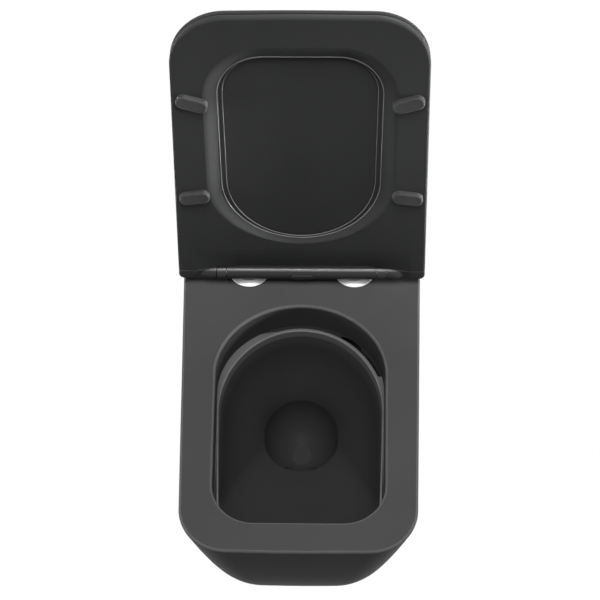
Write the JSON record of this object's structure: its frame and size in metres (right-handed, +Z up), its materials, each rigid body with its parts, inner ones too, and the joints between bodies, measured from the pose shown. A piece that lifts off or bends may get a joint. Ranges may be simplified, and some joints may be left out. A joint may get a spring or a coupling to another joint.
{
  "type": "wall hung toilet",
  "caption": "Wall hung rimless toilet pan with a tapering shroud, soft close seat and slim lid on a quick release hinge bar.",
  "frame": {"origin": "midway between the two wall studs, on the wall plane", "axes": "+Z up, +Y into the wall, +X to the right of someone facing the pan; the front faces -Y"},
  "size_m": [0.3596, 0.5448, 0.8007],
  "materials": {
    "china": "satin matt black glaze",
    "seat_plastic": "satin moulded thermoset",
    "bar_plastic": "satin moulded housing",
    "buffer_rubber": "soft moulded rubber",
    "plug_rubber": "moulded rubber",
    "rosette_chrome": "polished plate",
    "post_steel": "turned stainless",
    "zinc_steel": "zinc plated",
    "nut_brass": "turned",
    "damper_plastic": "moulded drum",
    "latch_plastic": "moulded acetal",
    "bush_plastic": "moulded acetal",
    "spring_steel": "rolled strip",
    "button_plastic": "satin moulded"
  },
  "bodies": {
    "pan_body": {"pan": "china", "wall_bracket_left": "zinc_steel", "wall_bracket_right": "zinc_steel", "side_screws": "zinc_steel", "side_caps": "bar_plastic", "rosette_gaskets": "plug_rubber", "rosette_left": "rosette_chrome", "rosette_right": "rosette_chrome", "hinge_post_left": "post_steel", "hinge_post_right": "post_steel", "hinge_studs": "zinc_steel", "deck_plugs": "plug_rubber", "plug_nuts": "nut_brass", "hinge_bar": "bar_plastic", "bar_cover": "bar_plastic", "cover_screws": "zinc_steel", "seat_damper": "damper_plastic", "lid_damper": "damper_plastic", "button_spring": "spring_steel"},
    "lid_body": {"lid": "seat_plastic", "lid_buffers": "buffer_rubber", "lid_shaft": "post_steel", "lid_bush": "bush_plastic"},
    "seat_body": {"seat": "seat_plastic", "seat_buffer_front_left": "buffer_rubber", "seat_buffer_front_right": "buffer_rubber", "seat_buffer_rear_left": "buffer_rubber", "seat_buffer_rear_right": "buffer_rubber", "seat_shaft": "post_steel", "seat_bush": "bush_plastic"},
    "button_body": {"release_button": "button_plastic"},
    "latch_left_body": {"latch_left": "latch_plastic"},
    "latch_right_body": {"latch_right": "latch_plastic"}
  },
  "joints": [
    {"name": "lid_hinge", "type": "hinge", "parent": "pan_body", "child": "lid_body", "pos_m": [0, -0.1, 0.096], "axis": [1, 0, 0], "range_deg": [0, 99.5]},
    {"name": "seat_hinge", "type": "hinge", "parent": "pan_body", "child": "seat_body", "pos_m": [0, -0.1, 0.096], "axis": [1, 0, 0], "range_deg": [0, 99.5]},
    {"name": "button_press", "type": "slide", "parent": "pan_body", "child": "button_body", "axis": [0, 1, 0], "range_m": [0, 0.0025], "stiffness_N_per_m": 600, "deforming": ["button_spring"]},
    {"name": "latch_left_slide", "type": "slide", "parent": "pan_body", "child": "latch_left_body", "axis": [1, 0, 0], "range_m": [0, 0.0025]},
    {"name": "latch_right_slide", "type": "slide", "parent": "pan_body", "child": "latch_right_body", "axis": [-1, 0, 0], "range_m": [0, 0.0025]}
  ],
  "couplings": [
    {"joint": "seat_hinge", "follows": "lid_hinge", "ratio": 1},
    {"joint": "latch_left_slide", "follows": "button_press", "ratio": 1},
    {"joint": "latch_right_slide", "follows": "button_press", "ratio": 1}
  ]
}
